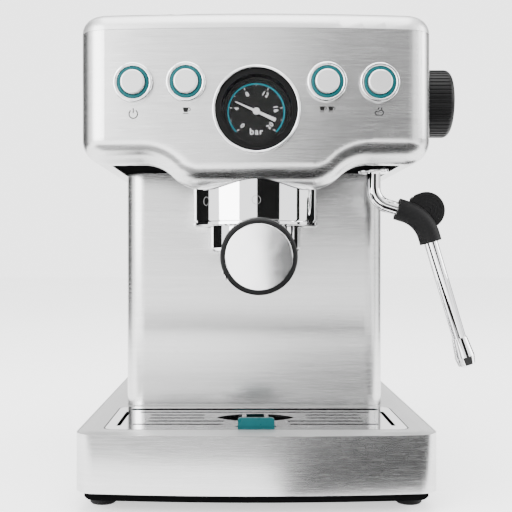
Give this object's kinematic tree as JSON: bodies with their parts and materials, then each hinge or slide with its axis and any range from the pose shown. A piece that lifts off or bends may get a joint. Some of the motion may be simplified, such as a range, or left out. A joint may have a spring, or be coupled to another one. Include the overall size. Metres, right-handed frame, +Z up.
{
  "type": "espresso machine",
  "caption": "Pump espresso machine in brushed steel with a pressure gauge, lit push buttons, a steam wand, a portafilter and a lift-out drip tray.",
  "frame": {"origin": "on the counter, under the middle of the base", "axes": "+Z up, front towards -Y, +X to the right of someone facing the front"},
  "size_m": [0.2792, 0.3921, 0.3335],
  "materials": {
    "brushed_steel": "brushed",
    "satin_silver": "satin",
    "polished_steel": "polished",
    "chrome": "polished",
    "black_plastic": "fine texture",
    "gloss_black": "gloss",
    "teal_plastic": "gloss",
    "silver_cap": "satin",
    "rubber": "matt",
    "brass": "machined",
    "aluminium": "cast",
    "glass": "clear",
    "smoked_plastic": "translucent",
    "board": "solder mask",
    "sheet_steel": "galvanised"
  },
  "bodies": {
    "machine": {"rubber_feet": "rubber", "base_pan": "black_plastic", "base_screws": "sheet_steel", "base_band": "brushed_steel", "cord_gland": "rubber", "base_top_frame": "satin_silver", "tank_valve_seat": "black_plastic", "column_wrap": "brushed_steel", "inner_chassis": "sheet_steel", "back_panel": "black_plastic", "back_panel_screws": "sheet_steel", "head_shell": "brushed_steel", "underside_panel": "black_plastic", "top_cover": "satin_silver", "cup_warmer_plate": "polished_steel", "gauge_bezel": "chrome", "gauge_case": "gloss_black", "gauge_dial": "gloss_black", "gauge_lens": "glass", "gauge_movement": "brass", "button_bezels": "chrome", "button_light_rings": "teal_plastic", "button_switches": "black_plastic", "control_board": "board", "group_collar": "chrome", "group_body": "brass", "group_gasket": "rubber", "shower_screen": "polished_steel", "screen_screw": "sheet_steel", "boiler": "aluminium", "pump": "black_plastic", "pump_mounts": "rubber", "pressure_hose": "rubber", "water_hose": "rubber", "steam_valve": "brass", "steam_pipe": "polished_steel", "wand_collar": "chrome"},
    "tray": {"drip_tray": "black_plastic"},
    "grate": {"drip_grate": "polished_steel"},
    "float": {"level_float": "teal_plastic"},
    "portafilter": {"portafilter_bowl": "chrome", "basket_spring": "sheet_steel", "filter_basket": "polished_steel", "portafilter_spout": "chrome", "handle_neck": "chrome", "handle_grip": "black_plastic", "handle_end_cap": "polished_steel"},
    "power": {"power_button": "silver_cap"},
    "single_cup": {"single_cup_button": "silver_cap"},
    "double_cup": {"double_cup_button": "silver_cap"},
    "steam": {"steam_button": "silver_cap"},
    "needle": {"gauge_needle": "silver_cap"},
    "knob": {"steam_knob": "black_plastic", "steam_spindle": "brass"},
    "wand": {"steam_wand_tube": "chrome", "wand_grip_sleeve": "rubber", "wand_tip": "chrome"},
    "tank": {"water_tank": "smoked_plastic", "tank_hinge_pin": "sheet_steel"},
    "lid": {"tank_lid": "black_plastic"}
  },
  "joints": [
    {"name": "tray_lift", "type": "slide", "parent": "machine", "child": "tray", "axis": [0, 0, 1], "range_m": [0, 0.045]},
    {"name": "grate_lift", "type": "slide", "parent": "tray", "child": "grate", "axis": [0, 0, 1], "range_m": [0, 0.025]},
    {"name": "float_rise", "type": "slide", "parent": "tray", "child": "float", "axis": [0, 0, 1], "range_m": [-0.006, 0.004]},
    {"name": "portafilter_turn", "type": "hinge", "parent": "machine", "child": "portafilter", "pos_m": [0, -0.084, 0.19], "axis": [0, 0, 1], "range_deg": [-50, 0]},
    {"name": "power_press", "type": "slide", "parent": "machine", "child": "power", "axis": [0, 1, 0], "range_m": [0, 0.002], "stiffness_N_per_m": 400},
    {"name": "single_cup_press", "type": "slide", "parent": "machine", "child": "single_cup", "axis": [0, 1, 0], "range_m": [0, 0.002], "stiffness_N_per_m": 400},
    {"name": "double_cup_press", "type": "slide", "parent": "machine", "child": "double_cup", "axis": [0, 1, 0], "range_m": [0, 0.002], "stiffness_N_per_m": 400},
    {"name": "steam_press", "type": "slide", "parent": "machine", "child": "steam", "axis": [0, 1, 0], "range_m": [0, 0.002], "stiffness_N_per_m": 400},
    {"name": "needle_turn", "type": "hinge", "parent": "machine", "child": "needle", "pos_m": [0, -0.126, 0.2667], "axis": [0, 1, 0], "range_deg": [-69.6, 200.4]},
    {"name": "knob_turn", "type": "hinge", "parent": "machine", "child": "knob", "pos_m": [0.12, -0.06, 0.2825], "axis": [1, 0, 0], "range_deg": [0, 270]},
    {"name": "wand_swing", "type": "hinge", "parent": "machine", "child": "wand", "pos_m": [0.0855, -0.08, 0.23], "axis": [0, 0, 1], "range_deg": [-95, 40]},
    {"name": "tank_lift", "type": "slide", "parent": "machine", "child": "tank", "axis": [0, 0, 1], "range_m": [0, 0.06]},
    {"name": "lid_open", "type": "hinge", "parent": "tank", "child": "lid", "pos_m": [0, 0.1505, 0.3198], "axis": [1, 0, 0], "range_deg": [-100, 0]}
  ]
}
